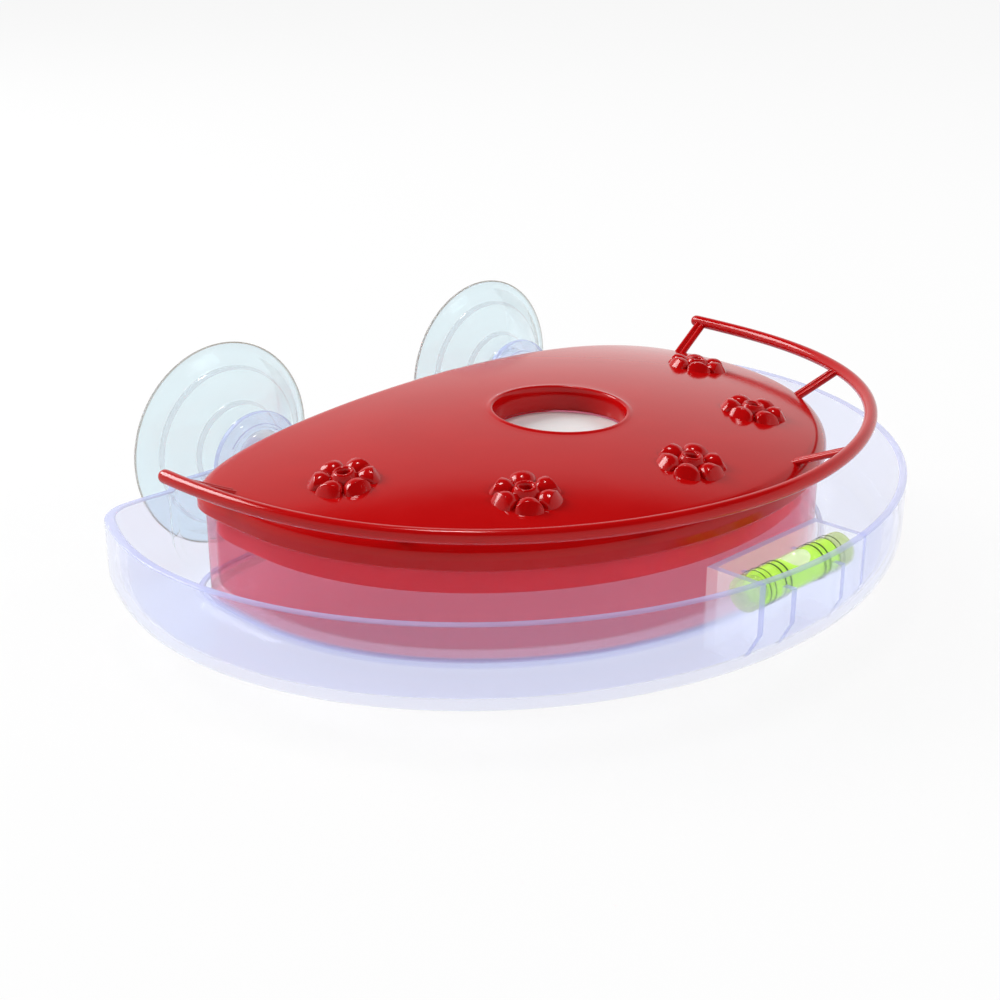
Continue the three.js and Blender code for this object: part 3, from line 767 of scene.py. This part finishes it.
# Camera at the photograph's place
cam_data = bpy.data.cameras.new("camera")
cam_data.sensor_width = 36.0
cam_data.lens = 58.09
cam_data.clip_start = 0.01
cam = bpy.data.objects.new("camera", cam_data)
cam.location = (-0.32955, -0.39514, 0.16511)
LOOK_ALONG = Vector((0.65947, 0.65832, -0.36293))
cam.rotation_euler = LOOK_ALONG.to_track_quat("-Z", "Y").to_euler()
scene.collection.objects.link(cam)
scene.camera = cam


# Floor, world and lamps
def math_node(nodes, links, how, first, second):
    """A value worked out from two others, each a number or another node's output."""
    node = nodes.new("ShaderNodeMath")
    node.operation = how
    for place, value in enumerate((first, second)):
        if isinstance(value, float):
            node.inputs[place].default_value = value
        else:
            links.new(value, node.inputs[place])
    return node.outputs[0]


FLOOR_HALF, FLOOR_Z, FLOOR_GLOW = 12, -0.0335, 0.9
corners = [(-FLOOR_HALF, -FLOOR_HALF, 0), (FLOOR_HALF, -FLOOR_HALF, 0),
           (FLOOR_HALF, FLOOR_HALF, 0), (-FLOOR_HALF, FLOOR_HALF, 0)]
floor_mesh = bpy.data.meshes.new("floor")
floor_mesh.from_pydata(corners, [], [(0, 1, 2, 3)])
floor = bpy.data.objects.new("floor", floor_mesh)
floor.location = (0, 0, FLOOR_Z)
scene.collection.objects.link(floor)
floor_mat, fn, fl, pale = material("floor")
pale.inputs["Base Color"].default_value = (0.8, 0.8, 0.8, 1)
pale.inputs["Roughness"].default_value = 0.9
glow = fn.new("ShaderNodeEmission")
glow.inputs["Color"].default_value = (1, 1, 1, 1)
glow.inputs["Strength"].default_value = 1.0
path = fn.new("ShaderNodeLightPath").outputs
straight = math_node(fn, fl, "MAXIMUM", path["Is Camera Ray"], path["Is Glossy Ray"])
straight = math_node(fn, fl, "MAXIMUM", straight, path["Is Transmission Ray"])
share = math_node(fn, fl, "MULTIPLY", straight, FLOOR_GLOW)
both = fn.new("ShaderNodeMixShader")
fl.new(share, both.inputs["Fac"])
fl.new(pale.outputs["BSDF"], both.inputs[1])
fl.new(glow.outputs["Emission"], both.inputs[2])
fl.new(both.outputs["Shader"], fn["Material Output"].inputs["Surface"])
floor_mesh.materials.append(floor_mat)

world = bpy.data.worlds.new("studio")
scene.world = world
world.use_nodes = True
wn, wl = world.node_tree.nodes, world.node_tree.links
coord = wn.new("ShaderNodeTexCoord")
split = wn.new("ShaderNodeSeparateXYZ")
wl.new(coord.outputs["Generated"], split.inputs["Vector"])
ramp = wn.new("ShaderNodeValToRGB")
steps = ramp.color_ramp.elements
steps[0].position = 0.0
steps[0].color = (1, 1, 1, 1)
steps[1].position = 1.0
steps[1].color = (0.04, 0.04, 0.04, 1)
for place, shade in ((0.25, 0.85), (0.45, 0.68), (0.58, 0.6), (0.64, 0.04)):
    steps.new(place).color = (shade, shade, shade, 1)
wl.new(split.outputs["Z"], ramp.inputs["Fac"])
seen = wn.new("ShaderNodeLightPath").outputs
clear_view = math_node(wn, wl, "MAXIMUM", seen["Is Camera Ray"], seen["Is Transmission Ray"])
pick = wn.new("ShaderNodeMix")
pick.data_type = "RGBA"
wl.new(clear_view, pick.inputs["Factor"])
wl.new(ramp.outputs["Color"], pick.inputs["A"])
pick.inputs["B"].default_value = (0.98, 0.98, 1.0, 1)
wl.new(pick.outputs["Result"], wn["Background"].inputs["Color"])
wn["Background"].inputs["Strength"].default_value = 1.0

MIDDLE = Vector((0, -0.08, 0))


def lamp(name, place, size, power, mirrored):
    """A square lamp that faces the feeder's middle; only a mirrored one shows in glossy surfaces."""
    data = bpy.data.lights.new(name, "AREA")
    data.shape = "RECTANGLE"
    data.size, data.size_y = size, size
    data.energy = power
    obj = bpy.data.objects.new(name, data)
    obj.location = place
    obj.visible_glossy = mirrored
    obj.rotation_euler = (MIDDLE - Vector(place)).to_track_quat("-Z", "Y").to_euler()
    scene.collection.objects.link(obj)


lamp("key", (-0.5, 1.25, 1.0), 0.8, 26, True)
lamp("fill", (0.6, -1.2, 0.9), 0.5, 6, False)
lamp("top", (0.1, 0.25, 1.65), 0.3, 8, True)
